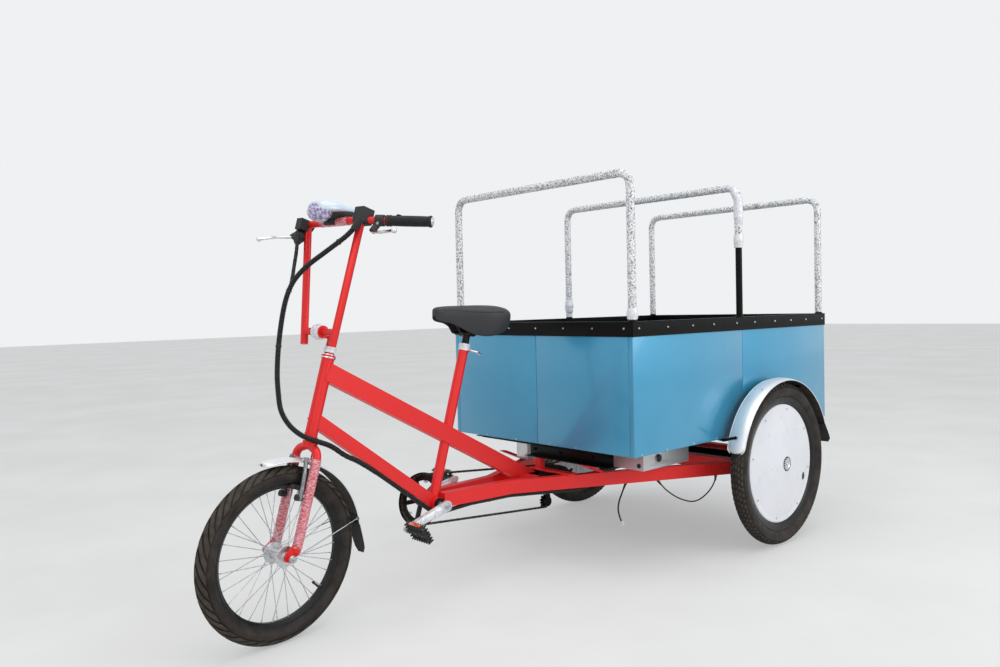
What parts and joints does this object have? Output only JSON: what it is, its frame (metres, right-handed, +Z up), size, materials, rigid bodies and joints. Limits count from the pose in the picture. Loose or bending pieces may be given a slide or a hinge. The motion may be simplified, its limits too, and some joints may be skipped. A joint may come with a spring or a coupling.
{
  "type": "electric cargo tricycle",
  "caption": "Pedal and electric cargo tricycle: one steered front wheel, low frame, saddle, and an open sheet-metal box with three hoops between two rear wheels.",
  "frame": {"origin": "on the floor under the middle of the vehicle's box", "axes": "+X forward, +Y to the rider's left, +Z up"},
  "size_m": [2.6476, 1.141, 1.4135],
  "materials": {
    "red_enamel": "gloss enamel",
    "blue_sheet": "gloss metallic blue",
    "black_angle": "satin black",
    "floor_sheet": "black sheet steel",
    "bright_film": "clear packing film over foam",
    "black_rubber": "matt rubber",
    "wheel_metal": "black rim, zinc spokes",
    "cover_white": "white moulded disc",
    "bright_metal": "polished",
    "cast_alloy": "satin",
    "dark_steel": "oiled",
    "black_plastic": "matt",
    "black_grip": "ribbed",
    "saddle_vinyl": "vinyl",
    "lamp_shell": "white shell",
    "white_plug": "nylon"
  },
  "bodies": {
    "frame": {"battery_tray": "cast_alloy", "box_bearer": "black_angle", "box_floor": "floor_sheet", "box_front": "blue_sheet", "box_post": "red_enamel", "box_rear": "blue_sheet", "box_rim": "black_angle", "box_side_left": "blue_sheet", "box_side_right": "blue_sheet", "box_stands": "red_enamel", "cable_duct": "black_plastic", "controller": "black_plastic", "drive_chain": "dark_steel", "drop_lead": "black_plastic", "drop_lead_plug": "white_plug", "frame_cross_tubes": "red_enamel", "frame_head_tube": "red_enamel", "frame_lower_beam": "red_enamel", "frame_rail_left": "red_enamel", "frame_rail_right": "red_enamel", "frame_seat_tube": "red_enamel", "frame_upper_beam": "red_enamel", "harness_lower": "black_plastic", "hoop_front": "black_angle", "hoop_middle": "black_angle", "hoop_rear": "black_angle", "hoop_wraps": "bright_film", "loop_lead": "black_plastic", "motor": "cast_alloy", "motor_plates": "black_angle", "pedal_chain": "dark_steel", "rear_axle_housing": "dark_steel", "rear_fender_left": "bright_metal", "rear_fender_right": "bright_metal", "saddle": "saddle_vinyl", "seat_post": "black_plastic"},
    "steering": {"fork": "red_enamel", "stem": "bright_film", "handlebar": "red_enamel", "grips": "black_grip", "hand_controls": "black_plastic", "brake_levers": "bright_metal", "lamp": "lamp_shell", "front_fender": "bright_metal", "front_brake": "bright_metal", "harness_upper": "black_plastic", "harness_branch": "black_plastic"},
    "front_wheel": {"front_tyre": "black_rubber", "front_wheel": "wheel_metal"},
    "rear_wheel_left": {"rear_tyre_left": "black_rubber", "rear_wheel_left": "wheel_metal", "rear_cover_left": "cover_white"},
    "rear_wheel_right": {"rear_tyre_right": "black_rubber", "rear_wheel_right": "wheel_metal", "rear_cover_right": "cover_white"},
    "crankset": {"crank_arms": "cast_alloy", "chainring": "dark_steel"},
    "pedal_left": {"pedal_left": "black_plastic"},
    "pedal_right": {"pedal_right": "black_plastic"}
  },
  "joints": [
    {"name": "steer", "type": "hinge", "parent": "frame", "child": "steering", "pos_m": [0.95324, 0, 0.586], "axis": [-0.279, 0, 0.9603], "range_deg": [-51.3, 38.7]},
    {"name": "front_wheel_spin", "type": "hinge", "parent": "steering", "child": "front_wheel", "pos_m": [1.06809, 0.00204, 0.25697], "axis": [-0.1054, 0.994, -0.0306], "continuous": true},
    {"name": "rear_wheel_left_spin", "type": "hinge", "parent": "frame", "child": "rear_wheel_left", "pos_m": [-0.80481, 0.5265, 0.318], "axis": [0, 1, 0], "continuous": true},
    {"name": "rear_wheel_right_spin", "type": "hinge", "parent": "frame", "child": "rear_wheel_right", "pos_m": [-0.80481, -0.5265, 0.318], "axis": [0, 1, 0], "continuous": true},
    {"name": "crank_spin", "type": "hinge", "parent": "frame", "child": "crankset", "pos_m": [0.50719, 0, 0.309], "axis": [0, 1, 0], "continuous": true},
    {"name": "pedal_left_spin", "type": "hinge", "parent": "crankset", "child": "pedal_left", "pos_m": [0.66635, 0.136, 0.26546], "axis": [0, 1, 0], "continuous": true},
    {"name": "pedal_right_spin", "type": "hinge", "parent": "crankset", "child": "pedal_right", "pos_m": [0.34804, -0.136, 0.35254], "axis": [0, 1, 0], "continuous": true}
  ]
}
